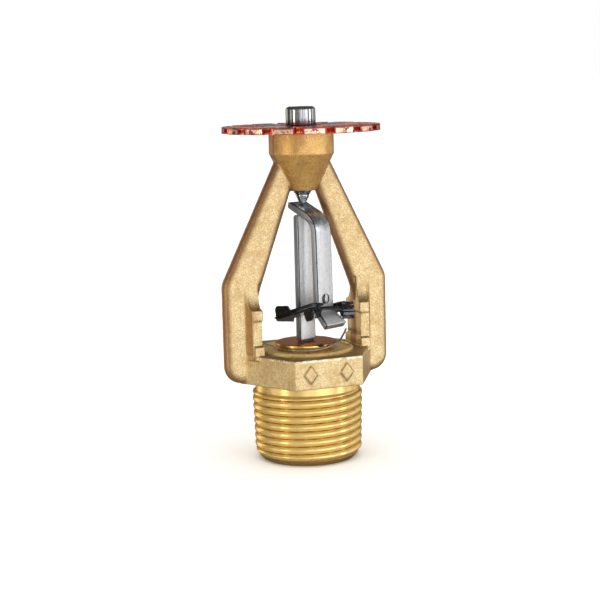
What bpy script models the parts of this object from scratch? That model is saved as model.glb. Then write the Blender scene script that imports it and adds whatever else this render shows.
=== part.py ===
"""Fire sprinkler head with a hook-and-strut fusible link trigger.

The head stands on its inlet face: the origin is the centre of that face, +Z runs up the waterway to the
deflector, and +X runs through the two frame arms. Lengths are written in millimetres and become metres
where a shape is made.
"""

import math

import bmesh
import bpy
from mathutils import Matrix, Vector

MM = 0.001
MERGE = 0.00001            # metres, for welds and turned shapes
FIT = 0.05                 # gap between two flat faces that touch, mm

# Inlet thread: 3/4 in taper pipe thread
THREAD_PITCH = 1.814
THREAD_TOP_RADIUS = 13.2
THREAD_DEPTH = 1.16
THREAD_TAPER = 1 / 32      # change of radius per length, from the 1:16 taper on diameter
THREAD_BOTTOM_Z = 1.0
THREAD_TURNS = 8
INLET_EDGE_RADIUS = 11.6
NECK_RADIUS = 12.2
BORE_RADIUS = 8.9

# Wrench hexagon, with its corners on the X axis
HEX_BOTTOM_Z = 19.0
HEX_TOP_Z = 26.0
HEX_FLATS = 29.0
SEAT_RADIUS = 11.5
SEAT_Z = 25.4

# Frame arms, as distances from the axis
ARM_OUTER = 20.3
ARM_INNER = 12.4
ARM_HALF_THICKNESS = 1.9
ARM_CORNER_RADIUS = 4.2
ELBOW_Z = 42.6
INNER_BEND_Z = 38.7
ARM_TOP_OUTER = (6.9, 70.2)
ARM_TOP_INNER = (3.2, 63.6)
GUIDE_THICKNESS = 2.2
GUIDE_HALF_WIDTH = 4.15
GUIDE_SHOULDER_Z = 36.7
GUIDE_APEX_Z = 41.0
GROOVE_OUTER = 15.8
GROOVE_WEB = 1.1

# Boss
BOSS_RADIUS = 7.6
BOSS_TIP_RADIUS = 3.3
BOSS_TOP_Z = 77.3
BOSS_CONE_Z = 72.3
BOSS_TIP_Z = 63.6
NOSE_RADIUS = 4.4

# Deflector
DEFLECTOR_RADIUS = 18.5
DEFLECTOR_THICKNESS = 1.45
SLOT_COUNT = 16
SLOT_WIDTH = 1.9
SLOT_INNER_RADIUS = 11.0

# Compression screw
SCREW_RADIUS = 2.2
SCREW_HEAD_RADIUS = 3.5
SCREW_TOP_Z = 83.1
SCREW_TIP_Z = 60.38

# Trigger strips: u is the way the hook's leg stands out from the strut
TRIGGER_TURN = math.radians(-67.0)
STRIP_THICKNESS = 1.65
STRIP_WIDTH = 5.1
STRUT_FOOT_Z = 27.85
STRUT_TOP_Z = 57.95
HOOK_SLOPE = math.radians(23.0)
HOOK_FREE_END = -2.5
HOOK_LEG_TOP = 5.8
HOOK_LEG_FOOT = (6.2, 35.4)
HOOK_FOOT_END = (9.95, 32.35)
HOOK_BEND_RADII = (4.6, 1.1)
DIMPLE_Z = 38.5

# Link plates
LINK_TILT = math.radians(17.6)
LINK_Z = 34.9              # height of the solder plane on the axis
LINK_START = -3.25
LINK_END = 9.65
LINK_HALF_WIDTH = 6.7
LINK_THICKNESS = 0.6
SOLDER_THICKNESS = 0.16
STRUT_PLACE = 0.0
LEG_PLACE = 6.42
SLOT_CLEARANCE = 0.2
NOTCH_CLEARANCE = 0.35

# Button and seal
BUTTON_RADIUS = 7.3
BUTTON_TOP_Z = 27.75
BUTTON_RIM = 0.75
HUB_RADIUS = 5.6
STEM_RADIUS = 4.0
WASHER_RADIUS = 11.2
WASHER_HOLE = 4.3
WASHER_TOP_Z = 26.3
WASHER_THICKNESS = 0.6
FILM_THICKNESS = 0.2
WIRE_RADIUS = 0.26

MATERIALS = {
    "frame": ((0.69, 0.47, 0.20), 0.45, 1.0),
    "deflector": ((0.62, 0.20, 0.12), 0.2, 1.0),
    "compression_screw": ((0.55, 0.56, 0.57), 0.25, 1.0),
    "hook": ((0.62, 0.63, 0.64), 0.32, 1.0),
    "strut": ((0.60, 0.61, 0.62), 0.34, 1.0),
    "link_strut_half": ((0.012, 0.012, 0.013), 0.25, 0.0),
    "link_hook_half": ((0.010, 0.010, 0.011), 0.22, 0.0),
    "solder_film": ((0.45, 0.45, 0.44), 0.4, 1.0),
    "button": ((0.30, 0.13, 0.07), 0.4, 1.0),
    "spring_washer": ((0.48, 0.30, 0.11), 0.35, 1.0),
    "seal_film_upper": ((0.80, 0.80, 0.78), 0.5, 0.0),
    "seal_film_lower": ((0.80, 0.80, 0.78), 0.5, 0.0),
    "ejection_spring": ((0.42, 0.42, 0.40), 0.3, 1.0),
}


# ---- scene and object helpers ----

def clear_scene():
    for scene_object in list(bpy.data.objects):
        bpy.data.objects.remove(scene_object, do_unlink=True)


def new_collection(name):
    collection = bpy.data.collections.new(name)
    bpy.context.scene.collection.children.link(collection)
    return collection


def add_object(name, data, collection, parent=None):
    scene_object = bpy.data.objects.new(name, data)
    collection.objects.link(scene_object)
    scene_object.parent = parent
    if collection == CUTTERS:
        scene_object.hide_render = True
        scene_object.display_type = "WIRE"
    return scene_object


def add_empty(name, location=(0, 0, 0), rotation=(0, 0, 0), parent=None):
    empty = bpy.data.objects.new(name, None)
    PARTS.objects.link(empty)
    empty.parent = parent
    empty.location = Vector(location) * MM
    empty.rotation_euler = rotation
    return empty


def give_material(scene_object):
    color, roughness, metallic = MATERIALS[scene_object.name]
    material = bpy.data.materials.new(scene_object.name)
    material.use_nodes = True
    shader = material.node_tree.nodes["Principled BSDF"]
    shader.inputs["Base Color"].default_value = (*color, 1.0)
    shader.inputs["Roughness"].default_value = roughness
    shader.inputs["Metallic"].default_value = metallic
    material.diffuse_color = (*color, 1.0)
    scene_object.data.materials.clear()
    scene_object.data.materials.append(material)


def finished(scene_object, sharp_degrees=35):
    """Shade a finished piece smooth, with its hard edges kept, and give it its material."""
    scene_object.data.shade_smooth()
    scene_object.data.set_sharp_from_angle(angle=math.radians(sharp_degrees))
    give_material(scene_object)
    return scene_object


def applied(scene_object):
    """Turn an object and its modifiers into a plain welded mesh object in the same place."""
    bpy.context.view_layer.update()
    depsgraph = bpy.context.evaluated_depsgraph_get()
    mesh = bpy.data.meshes.new_from_object(scene_object.evaluated_get(depsgraph))
    name = scene_object.name
    collection = scene_object.users_collection[0]
    matrix = scene_object.matrix_world.copy()
    shape = bmesh.new()
    shape.from_mesh(mesh)
    bmesh.ops.remove_doubles(shape, verts=shape.verts, dist=MERGE)
    bmesh.ops.recalc_face_normals(shape, faces=shape.faces)
    shape.to_mesh(mesh)
    shape.free()
    bpy.data.objects.remove(scene_object, do_unlink=True)
    plain = add_object(name, mesh, collection)
    plain.name = name
    plain.matrix_world = matrix
    return plain


def combine(scene_object, others, operation):
    """Join cutters or additions into a piece, one exact Boolean after another."""
    for number, other in enumerate(others):
        modifier = scene_object.modifiers.new(f"{operation.lower()}_{number}", "BOOLEAN")
        modifier.operation = operation
        modifier.solver = "EXACT"
        modifier.object = other
    return scene_object


# ---- shape helpers ----

def turned(name, profile, steps, collection=None, parent=None):
    """A turned piece: (radius, height) points down its outer side, spun about the Z axis."""
    mesh = bpy.data.meshes.new(name)
    points = [(radius * MM, 0.0, height * MM) for radius, height in profile]
    count = len(points)
    closed = profile[0][0] > 0 and profile[-1][0] > 0
    edges = [(index, index + 1) for index in range(count - 1)]
    if closed:
        edges.append((count - 1, 0))
    mesh.from_pydata(points, edges, [])
    piece = add_object(name, mesh, collection or PARTS, parent)
    screw = piece.modifiers.new("turn", "SCREW")
    screw.steps = steps
    screw.render_steps = steps
    screw.use_merge_vertices = True
    screw.merge_threshold = MERGE
    return piece


def box(name, low, high, collection=None, parent=None):
    shape = bmesh.new()
    bmesh.ops.create_cube(shape, size=1.0)
    size = [(high[axis] - low[axis]) * MM for axis in range(3)]
    centre = [(high[axis] + low[axis]) / 2 * MM for axis in range(3)]
    bmesh.ops.scale(shape, vec=size, verts=shape.verts)
    bmesh.ops.translate(shape, vec=centre, verts=shape.verts)
    mesh = bpy.data.meshes.new(name)
    shape.to_mesh(mesh)
    shape.free()
    return add_object(name, mesh, collection or PARTS, parent)


def prism(name, radius, low, high, sides, turn=0.0, collection=None):
    shape = bmesh.new()
    bmesh.ops.create_cone(
        shape, cap_ends=True, segments=sides, radius1=radius * MM, radius2=radius * MM,
        depth=(high - low) * MM,
    )
    bmesh.ops.rotate(shape, cent=(0, 0, 0), matrix=Matrix.Rotation(turn, 3, "Z"), verts=shape.verts)
    bmesh.ops.translate(shape, vec=(0, 0, (low + high) / 2 * MM), verts=shape.verts)
    mesh = bpy.data.meshes.new(name)
    shape.to_mesh(mesh)
    shape.free()
    return add_object(name, mesh, collection or PARTS)


def outline_plate(name, outlines, half_thickness, collection=None, parent=None):
    """A flat plate in the XY plane, from closed outlines; an inner outline is a hole."""
    curve = bpy.data.curves.new(name, "CURVE")
    curve.dimensions = "2D"
    curve.fill_mode = "BOTH"
    curve.extrude = half_thickness * MM
    for outline in outlines:
        spline = curve.splines.new("POLY")
        spline.points.add(len(outline) - 1)
        spline.use_cyclic_u = True
        for point, (across, along) in zip(spline.points, outline):
            point.co = (across * MM, along * MM, 0.0, 1.0)
    return applied(add_object(name, curve, collection or PARTS, parent))


def stand_up(scene_object):
    """Turn a plate from its XY plane into XZ, so that its outline's second number is a height."""
    scene_object.matrix_world = scene_object.matrix_world @ Matrix.Rotation(math.pi / 2, 4, "X")
    return baked(scene_object)


def baked(scene_object):
    """Put an object's place into its mesh, leaving the object at the origin."""
    scene_object.data.transform(scene_object.matrix_world)
    scene_object.matrix_world = Matrix.Identity(4)
    return scene_object


def bevel(scene_object, width, segments, degrees=50):
    modifier = scene_object.modifiers.new("edges", "BEVEL")
    modifier.width = width * MM
    modifier.segments = segments
    modifier.limit_method = "ANGLE"
    modifier.angle_limit = math.radians(degrees)
    return scene_object


def arc(centre, radius, start, end, steps):
    points = []
    for step in range(steps + 1):
        angle = math.radians(start + (end - start) * step / steps)
        points.append((centre[0] + radius * math.cos(angle), centre[1] + radius * math.sin(angle)))
    return points


def rounded_path(corners, radii, steps):
    """A polyline through the corners, with each inner corner replaced by an arc."""
    path = [Vector(corners[0])]
    for before, corner, after, radius in zip(corners, corners[1:], corners[2:], radii):
        before, corner, after = Vector(before), Vector(corner), Vector(after)
        back = (before - corner).normalized()
        ahead = (after - corner).normalized()
        half = back.angle(ahead) / 2
        reach = radius / math.tan(half)
        centre = corner + (back + ahead).normalized() * (radius / math.sin(half))
        first = corner + back * reach - centre
        last = corner + ahead * reach - centre
        sweep = first.angle_signed(last)
        for step in range(steps + 1):
            path.append(centre + Matrix.Rotation(-sweep * step / steps, 2) @ first)
    path.append(Vector(corners[-1]))
    return path


def strip_outline(path, thickness):
    """The closed outline of a strip of even thickness along a path."""
    left = []
    right = []
    for index, point in enumerate(path):
        before = path[max(index - 1, 0)]
        after = path[min(index + 1, len(path) - 1)]
        ahead = (after - before).normalized()
        side = Vector((-ahead.y, ahead.x)) * thickness / 2
        left.append(tuple(point + side))
        right.append(tuple(point - side))
    return right + left[::-1]


# ---- frame casting ----

def thread_point(height_number, turn_fraction):
    """A point on the thread, whose rows climb one pitch a turn: root flat, flank, crest flat, flank."""
    rows_per_pitch = 4
    height = THREAD_BOTTOM_Z + THREAD_PITCH * (height_number / rows_per_pitch + turn_fraction)
    top = THREAD_BOTTOM_Z + THREAD_PITCH * THREAD_TURNS
    crest = THREAD_TOP_RADIUS - (top - height) * THREAD_TAPER
    depth = THREAD_DEPTH if height_number % rows_per_pitch in (0, 1) else 0.0
    flat_shift = 0.12 * THREAD_PITCH * (1 if height_number % 2 else -1)
    turn = math.tau * turn_fraction
    radius = crest - depth
    return Vector((radius * math.cos(turn), radius * math.sin(turn), height + flat_shift)) * MM


def threaded_inlet(name, columns=32):
    """The inlet, a plug with a helical thread outside: the bore is cut later."""
    rows = 4 * (THREAD_TURNS - 1) + 2
    shape = bmesh.new()
    wall = [[shape.verts.new(thread_point(row, column / columns)) for column in range(columns)]
            for row in range(rows + 4)]
    thread_end_z = THREAD_BOTTOM_Z + THREAD_PITCH * (THREAD_TURNS + 0.6)

    def ring(radius, height):
        return [shape.verts.new(Vector((radius * math.cos(math.tau * column / columns),
                                        radius * math.sin(math.tau * column / columns),
                                        height)) * MM) for column in range(columns)]

    def band(lower, upper):
        for column in range(columns):
            after = (column + 1) % columns
            shape.faces.new((lower[column], lower[after], upper[after], upper[column]))

    last = columns - 1
    for row in range(rows - 1):
        for column in range(last):
            shape.faces.new((wall[row][column], wall[row][column + 1],
                             wall[row + 1][column + 1], wall[row + 1][column]))
        shape.faces.new((wall[row][last], wall[row + 4][0], wall[row + 5][0], wall[row + 1][last]))
    bottom = ring(INLET_EDGE_RADIUS, 0.0)
    top = ring(NECK_RADIUS, thread_end_z)
    for column in range(last):
        shape.faces.new((bottom[column], bottom[column + 1], wall[0][column + 1], wall[0][column]))
        shape.faces.new((wall[rows - 1][column], wall[rows - 1][column + 1],
                         top[column + 1], top[column]))
    # the thread starts and ends with a step one pitch high, where the seam closes
    start_step = [bottom[0]] + [wall[row][0] for row in range(5)] + [wall[0][last]]
    for lower, upper in zip(start_step, start_step[1:]):
        shape.faces.new((bottom[last], lower, upper))
    end_step = [wall[row][0] for row in range(rows - 1, rows + 4)] + [wall[rows - 1][last], top[last]]
    for lower, upper in zip(end_step, end_step[1:]):
        shape.faces.new((top[0], upper, lower))
    neck = ring(NECK_RADIUS, HEX_BOTTOM_Z + 1.0)
    band(top, neck)
    shape.faces.new(bottom[::-1])
    shape.faces.new(neck)
    loose = [vertex for vertex in shape.verts if not vertex.link_faces]
    bmesh.ops.delete(shape, geom=loose, context="VERTS")
    mesh = bpy.data.meshes.new(name)
    shape.to_mesh(mesh)
    shape.free()
    return add_object(name, mesh, CUTTERS)


def arm_outline():
    slope = (ARM_TOP_INNER[0] - ARM_INNER) / (ARM_TOP_INNER[1] - INNER_BEND_Z)
    inside_boss = (ARM_TOP_INNER[0] + slope * 2.4, ARM_TOP_INNER[1] + 2.4)
    corner = (ARM_OUTER - ARM_CORNER_RADIUS, HEX_BOTTOM_Z + 0.2 + ARM_CORNER_RADIUS)
    points = [(SEAT_RADIUS - 0.5, HEX_BOTTOM_Z + 0.2)]
    points += arc(corner, ARM_CORNER_RADIUS, -90, 0, 5)
    points += [(ARM_OUTER, ELBOW_Z - 0.6), (ARM_OUTER - 0.22, ELBOW_Z + 0.5)]
    points += [ARM_TOP_OUTER, (ARM_TOP_OUTER[0] - 1.6, ARM_TOP_OUTER[1] + 1.2), inside_boss]
    points += [(ARM_INNER + slope * 1.5, INNER_BEND_Z + 1.5), (ARM_INNER, INNER_BEND_Z - 1.2)]
    points += [(ARM_INNER, HEX_TOP_Z - 1.0), (SEAT_RADIUS - 0.5, HEX_TOP_Z - 1.0)]
    return points


def shoulder_outline():
    """The guide seen along X: straight sides that narrow in a curve to the arm's thickness."""
    rise = GUIDE_APEX_Z - GUIDE_SHOULDER_Z
    flare = GUIDE_HALF_WIDTH - ARM_HALF_THICKNESS + 0.4
    side = [(GUIDE_HALF_WIDTH, HEX_TOP_Z - 0.8), (GUIDE_HALF_WIDTH, GUIDE_SHOULDER_Z)]
    steps = 5
    for step in range(1, steps + 1):
        share = step / steps
        side.append((GUIDE_HALF_WIDTH - flare * math.sin(share * math.pi / 2),
                     GUIDE_SHOULDER_Z + rise * (1 - math.cos(share * math.pi / 2))))
    return side + [(-across, height) for across, height in reversed(side)]


def guide_plate(name, side):
    """The wide plate on an arm's inner side, which keeps the trigger between the arms."""
    plate = outline_plate(name, [shoulder_outline()], GUIDE_THICKNESS / 2, CUTTERS)
    face_x = Matrix.Rotation(math.pi / 2, 4, "Z") @ Matrix.Rotation(math.pi / 2, 4, "X")
    shift = Matrix.Translation((side * (ARM_INNER - 0.05 + GUIDE_THICKNESS / 2) * MM, 0, 0))
    plate.matrix_world = shift @ face_x
    return baked(plate)


def frame_arm(side):
    """One arm: a flange with rounded edges, grooved beside the guide plate and its two pads."""
    word = "right" if side > 0 else "left"
    arm = outline_plate(f"arm_{word}", [arm_outline()], ARM_HALF_THICKNESS, CUTTERS)
    stand_up(arm)
    if side < 0:
        arm.data.transform(Matrix.Rotation(math.pi, 4, "Z"))
    bevel(arm, 0.8, 2)
    arm = applied(arm)
    outer = ARM_INNER + GUIDE_THICKNESS
    grooves = []
    for front in (-1, 1):
        across = sorted((side * (outer - 0.2), side * GROOVE_OUTER))
        deep = sorted((front * GROOVE_WEB, front * (ARM_HALF_THICKNESS + 1)))
        grooves.append(box(f"groove_{word}_{front}", (across[0], deep[0], HEX_TOP_Z - 0.3),
                           (across[1], deep[1], GUIDE_APEX_Z - 0.8), CUTTERS))
    combine(arm, grooves, "DIFFERENCE")
    arm = applied(arm)
    pads = [("upper", 34.2, GUIDE_SHOULDER_Z - 0.1, GUIDE_HALF_WIDTH + 0.2, 0.2),
            ("lower", HEX_TOP_Z - 0.9, 28.1, GUIDE_HALF_WIDTH + 1.1, 0.3)]
    additions = [guide_plate(f"guide_{word}", side)]
    for place, low, high, half_width, inward in pads:
        across = sorted((side * (ARM_INNER - inward), side * (outer - inward)))
        additions.append(box(f"pad_{place}_{word}", (across[0], -half_width, low),
                             (across[1], half_width, high), CUTTERS))
    return [arm] + additions


def build_frame():
    steps = 32
    boss = turned("frame", [
        (0, BOSS_TOP_Z + DEFLECTOR_THICKNESS - 0.1),
        (NOSE_RADIUS - 0.2, BOSS_TOP_Z + DEFLECTOR_THICKNESS - 0.1),
        (NOSE_RADIUS, BOSS_TOP_Z + DEFLECTOR_THICKNESS - 0.3),
        (NOSE_RADIUS, BOSS_TOP_Z),
        (BOSS_RADIUS - 0.3, BOSS_TOP_Z),
        (BOSS_RADIUS, BOSS_TOP_Z - 0.3),
        (BOSS_RADIUS, BOSS_CONE_Z + 0.3),
        (BOSS_RADIUS - 0.2, BOSS_CONE_Z - 0.3),
        (BOSS_TIP_RADIUS, BOSS_TIP_Z + 0.1),
        (BOSS_TIP_RADIUS - 0.3, BOSS_TIP_Z - 0.1),
        (0, BOSS_TIP_Z - 0.1),
    ], steps)
    hexagon = prism("hexagon", HEX_FLATS / math.sqrt(3), HEX_BOTTOM_Z, HEX_TOP_Z, 6, math.pi / 6, CUTTERS)
    bevel(hexagon, 0.35, 1)
    hexagon = applied(hexagon)
    additions = [threaded_inlet("inlet"), hexagon] + frame_arm(1) + frame_arm(-1)
    bore = prism("bore", BORE_RADIUS, -1.0, HEX_TOP_Z + 1.0, steps, 0.03, CUTTERS)
    seat = prism("seat", SEAT_RADIUS, SEAT_Z, HEX_TOP_Z + 0.8, 40, 0.05, CUTTERS)
    screw_hole = prism("screw_hole", SCREW_RADIUS + 0.1, BOSS_TIP_Z - 5, BOSS_TOP_Z + 5, 24, 0.02, CUTTERS)
    frame = applied(combine(applied(boss), additions, "UNION"))
    frame = applied(combine(frame, [bore, seat, screw_hole], "DIFFERENCE"))
    return finished(frame)


# ---- deflector and screw ----

def deflector_outline():
    """The rim, with a round-ended slot between each tine and the next; one slot lies on +X."""
    half = SLOT_WIDTH / 2
    pitch = math.tau / SLOT_COUNT
    edge = math.asin(half / DEFLECTOR_RADIUS)
    points = []
    for slot in range(SLOT_COUNT):
        turn = slot * pitch
        along = Vector((math.cos(turn), math.sin(turn)))
        across = Vector((-math.sin(turn), math.cos(turn)))
        mouth = DEFLECTOR_RADIUS * math.cos(edge)
        points.append(along * mouth - across * half)
        for step in range(5):
            swing = math.pi * step / 4
            inward = SLOT_INNER_RADIUS + half - half * math.sin(swing)
            points.append(along * inward - across * half * math.cos(swing))
        points.append(along * mouth + across * half)
        for step in (1, 2):
            rim = turn + edge + (pitch - 2 * edge) * step / 3
            points.append(Vector((math.cos(rim), math.sin(rim))) * DEFLECTOR_RADIUS)
    return [tuple(point) for point in points]


def build_deflector():
    hole = arc((0, 0), NOSE_RADIUS + 0.1, 0, 360 - 11.25, 31)
    disc = outline_plate("deflector", [deflector_outline(), hole], (DEFLECTOR_THICKNESS - FIT) / 2)
    disc.location.z = (BOSS_TOP_Z + (DEFLECTOR_THICKNESS + FIT) / 2) * MM
    return finished(disc)


def build_screw():
    head_z = BOSS_TOP_Z + DEFLECTOR_THICKNESS + FIT
    screw = turned("compression_screw", [
        (0, SCREW_TOP_Z),
        (SCREW_HEAD_RADIUS - 0.4, SCREW_TOP_Z),
        (SCREW_HEAD_RADIUS, SCREW_TOP_Z - 0.4),
        (SCREW_HEAD_RADIUS, head_z),
        (SCREW_RADIUS, head_z),
        (SCREW_RADIUS, 63.3),
        (1.15, 61.75),
        (0.7, 60.85),
        (0.25, SCREW_TIP_Z),
        (0, SCREW_TIP_Z),
    ], 24)
    socket = prism("socket", 1.75, SCREW_TOP_Z - 2.6, SCREW_TOP_Z + 1, 6, 0.3, CUTTERS)
    return finished(applied(combine(applied(screw), [socket], "DIFFERENCE")))


# ---- trigger ----

def build_hook(trigger):
    middle = STRIP_THICKNESS / 2 / math.cos(HOOK_SLOPE)
    tip_height = SCREW_TIP_Z - 0.2

    def top_arm(place):
        return (place, tip_height - middle - place * math.tan(HOOK_SLOPE))

    corners = [top_arm(HOOK_FREE_END), top_arm(HOOK_LEG_TOP), HOOK_LEG_FOOT, HOOK_FOOT_END]
    path = rounded_path(corners, HOOK_BEND_RADII, 6)
    hook = outline_plate("hook", [strip_outline(path, STRIP_THICKNESS)], STRIP_WIDTH / 2)
    stand_up(hook)
    bevel(hook, 0.2, 1)
    hook = applied(hook)
    shape = bmesh.new()
    bmesh.ops.create_uvsphere(shape, u_segments=12, v_segments=8, radius=1.35 * MM)
    outer_face = HOOK_LEG_FOOT[0] + STRIP_THICKNESS / 2
    bmesh.ops.translate(shape, vec=((outer_face - 1.0) * MM, 0, DIMPLE_Z * MM), verts=shape.verts)
    mesh = bpy.data.meshes.new("dimple")
    shape.to_mesh(mesh)
    shape.free()
    hook = applied(combine(hook, [add_object("dimple", mesh, CUTTERS)], "UNION"))
    hook.parent = trigger
    return finished(hook)


def build_strut(trigger):
    """The strut: its foot is narrowed to an edge, so that it can tip on the button."""
    half = STRIP_THICKNESS / 2
    chamfer = 0.45
    outline = [
        (-half + chamfer, STRUT_FOOT_Z), (half - chamfer, STRUT_FOOT_Z), (half, STRUT_FOOT_Z + chamfer),
        (half, STRUT_TOP_Z - 0.15), (half - 0.15, STRUT_TOP_Z), (-half + chamfer, STRUT_TOP_Z),
        (-half, STRUT_TOP_Z - chamfer), (-half, STRUT_FOOT_Z + chamfer),
    ]
    strut = stand_up(outline_plate("strut", [outline], STRIP_WIDTH / 2))
    bevel(strut, 0.2, 1, 80)
    strut.parent = trigger
    return finished(strut)


def rectangle(start, end, half_width):
    return [(start, -half_width), (end, -half_width), (end, half_width), (start, half_width)]


def notched_plate(end_open, end_closed, opening_end, half_width):
    """A plate's outline that is open from one end as far as opening_end."""
    slot = STRIP_WIDTH / 2 + NOTCH_CLEARANCE
    return [
        (end_closed, -half_width), (end_open, -half_width), (end_open, -slot), (opening_end, -slot),
        (opening_end, slot), (end_open, slot), (end_open, half_width), (end_closed, half_width),
    ]


def strip_window(place):
    """The hole in a tilted plate that a strip passes through."""
    reach = STRIP_THICKNESS / 2 / math.cos(LINK_TILT) + LINK_THICKNESS * math.tan(LINK_TILT) + SLOT_CLEARANCE
    return rectangle(place - reach, place + reach, STRIP_WIDTH / 2 + SLOT_CLEARANCE)


def raised(scene_object, height):
    scene_object.location.z = height * MM
    bpy.context.view_layer.update()
    return baked(scene_object)


def link_half(name, outlines, level, tabs, plane):
    """A link plate with its bent-up or bent-down cooling tabs, in the solder plane's own axes."""
    plate = raised(outline_plate(name, outlines, LINK_THICKNESS / 2), level)
    additions = [box(f"{name}_tab_{number}", low, high, CUTTERS)
                 for number, (low, high) in enumerate(tabs)]
    plate = applied(combine(plate, additions, "UNION"))
    plate.parent = plane
    return finished(plate)


def build_link(plane):
    level = SOLDER_THICKNESS / 2 + FIT + LINK_THICKNESS / 2
    half = LINK_HALF_WIDTH
    tab = (half - 0.45, half + 0.1)
    strut_reach = 2.2
    leg_reach = 1.7
    upper = notched_plate(LINK_END, LINK_START, LEG_PLACE - leg_reach, half)
    root, tip = level - 0.1, level + 2.1
    upper_tabs = [((LINK_START + 0.15, -tab[1], root), (1.6, -tab[0], tip)),
                  ((1.0, tab[0], root), (4.2, tab[1], tip - 0.7))]
    link_half("link_strut_half", [upper, strip_window(STRUT_PLACE)], level, upper_tabs, plane)
    lower = notched_plate(LINK_START, LINK_END, STRUT_PLACE + strut_reach, half)
    root, tip = 0.1 - level, -level - 1.9
    lower_tabs = [
        ((LINK_START + 0.5, -tab[1], tip + 0.2), (2.6, -tab[0], root)),
        ((5.3, -tab[1], tip), (8.4, -tab[0], root)),
        ((LINK_END - 0.4, 3.6, tip), (LINK_END + 0.1, half - 0.6, root)),
        ((5.0, tab[0], tip), (8.7, tab[1], root)),
        ((LINK_START + 0.6, tab[0], tip + 0.4), (2.2, tab[1], root)),
    ]
    link_half("link_hook_half", [lower, strip_window(LEG_PLACE)], -level, lower_tabs, plane)
    film = [notched_plate(LINK_END - 0.8, LINK_START + 0.6, LEG_PLACE - leg_reach, half - 0.7),
            strip_window(STRUT_PLACE)]
    solder = outline_plate("solder_film", film, SOLDER_THICKNESS / 2)
    solder.parent = plane
    finished(solder)


# ---- button and seal ----

def build_button():
    washer_face = WASHER_TOP_Z + FIT + FILM_THICKNESS + FIT
    button = turned("button", [
        (0, BUTTON_TOP_Z),
        (BUTTON_RADIUS - 0.15, BUTTON_TOP_Z),
        (BUTTON_RADIUS, BUTTON_TOP_Z - 0.15),
        (BUTTON_RADIUS, BUTTON_TOP_Z - BUTTON_RIM),
        (HUB_RADIUS, BUTTON_TOP_Z - BUTTON_RIM),
        (HUB_RADIUS, washer_face),
        (STEM_RADIUS, washer_face),
        (STEM_RADIUS, SEAT_Z - 1.0),
        (STEM_RADIUS - 0.4, SEAT_Z - 1.4),
        (0, SEAT_Z - 1.4),
    ], 32)
    return finished(button)


def build_seal():
    washer_low = WASHER_TOP_Z - WASHER_THICKNESS
    bead = 0.22
    washer = turned("spring_washer", [
        (WASHER_HOLE, WASHER_TOP_Z),
        (WASHER_RADIUS - 1.3, WASHER_TOP_Z - 0.12),
        (WASHER_RADIUS - 0.7, WASHER_TOP_Z + bead),
        (WASHER_RADIUS - 0.2, WASHER_TOP_Z + bead),
        (WASHER_RADIUS, WASHER_TOP_Z),
        (WASHER_RADIUS, washer_low),
        (WASHER_HOLE, washer_low),
    ], 36)
    finished(washer)
    upper_low = WASHER_TOP_Z + FIT
    upper = turned("seal_film_upper", [
        (WASHER_HOLE, upper_low + FILM_THICKNESS), (HUB_RADIUS, upper_low + FILM_THICKNESS),
        (HUB_RADIUS, upper_low), (WASHER_HOLE, upper_low),
    ], 24)
    finished(upper)
    lower_high = washer_low - FIT
    lower = turned("seal_film_lower", [
        (BORE_RADIUS + 0.2, lower_high), (WASHER_RADIUS, lower_high),
        (WASHER_RADIUS, SEAT_Z + FIT), (BORE_RADIUS + 0.2, SEAT_Z + FIT),
    ], 28)
    finished(lower)


def spring_route():
    """Along the left of the seal, round the front of the button, and rising to end beside the right guide."""
    lie = WASHER_TOP_Z + 0.1 + WIRE_RADIUS
    bends = [(-9.4, 8.2, 0.1), (-7.8, 1.2, 0.0), (-6.8, -3.6, 0.0), (-4.4, -6.9, 0.0), (-1.3, -8.0, 0.05),
             (2.0, -7.7, 0.3), (5.7, -5.6, 0.95), (9.2, -0.7, 1.6), (11.7, 3.9, 2.05)]
    bends = [Vector((across, along, lie + rise)) for across, along, rise in bends]
    ends = [bends[0] * 2 - bends[1]] + bends + [bends[-1] * 2 - bends[-2]]
    steps = 4
    route = []
    for before, start, end, after in zip(ends, ends[1:], ends[2:], ends[3:]):
        for step in range(steps):
            share = step / steps
            square, cube = share ** 2, share ** 3
            route.append((before * (-share + 2 * square - cube) + start * (2 - 5 * square + 3 * cube)
                          + end * (share + 4 * square - 3 * cube) + after * (cube - square)) / 2)
    return route + [bends[-1]]


def build_ejection_spring():
    curve = bpy.data.curves.new("ejection_spring", "CURVE")
    curve.dimensions = "3D"
    curve.bevel_depth = WIRE_RADIUS * MM
    curve.bevel_resolution = 2
    curve.use_fill_caps = True
    route = spring_route()
    spline = curve.splines.new("POLY")
    spline.points.add(len(route) - 1)
    for point, place in zip(spline.points, route):
        point.co = (*(place * MM), 1.0)
    wire = add_object("ejection_spring", curve, PARTS)
    return finished(applied(wire), 50)


clear_scene()
PARTS = new_collection("fire_sprinkler_head")
CUTTERS = new_collection("cutters")

build_frame()
build_deflector()
build_screw()
trigger_axes = add_empty("trigger_axes", rotation=(0, 0, TRIGGER_TURN))
link_axes = add_empty("link_axes", (0, 0, LINK_Z), (0, -LINK_TILT, 0), trigger_axes)
build_hook(trigger_axes)
build_strut(trigger_axes)
build_link(link_axes)
build_button()
build_seal()
build_ejection_spring()
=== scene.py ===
"""Looks for the fire sprinkler head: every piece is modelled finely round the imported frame, in metres."""

from math import asin, atan2, cos, pi, radians, sin, sqrt, tan, tau

import bmesh
import bpy
from mathutils import Matrix, Vector


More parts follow.
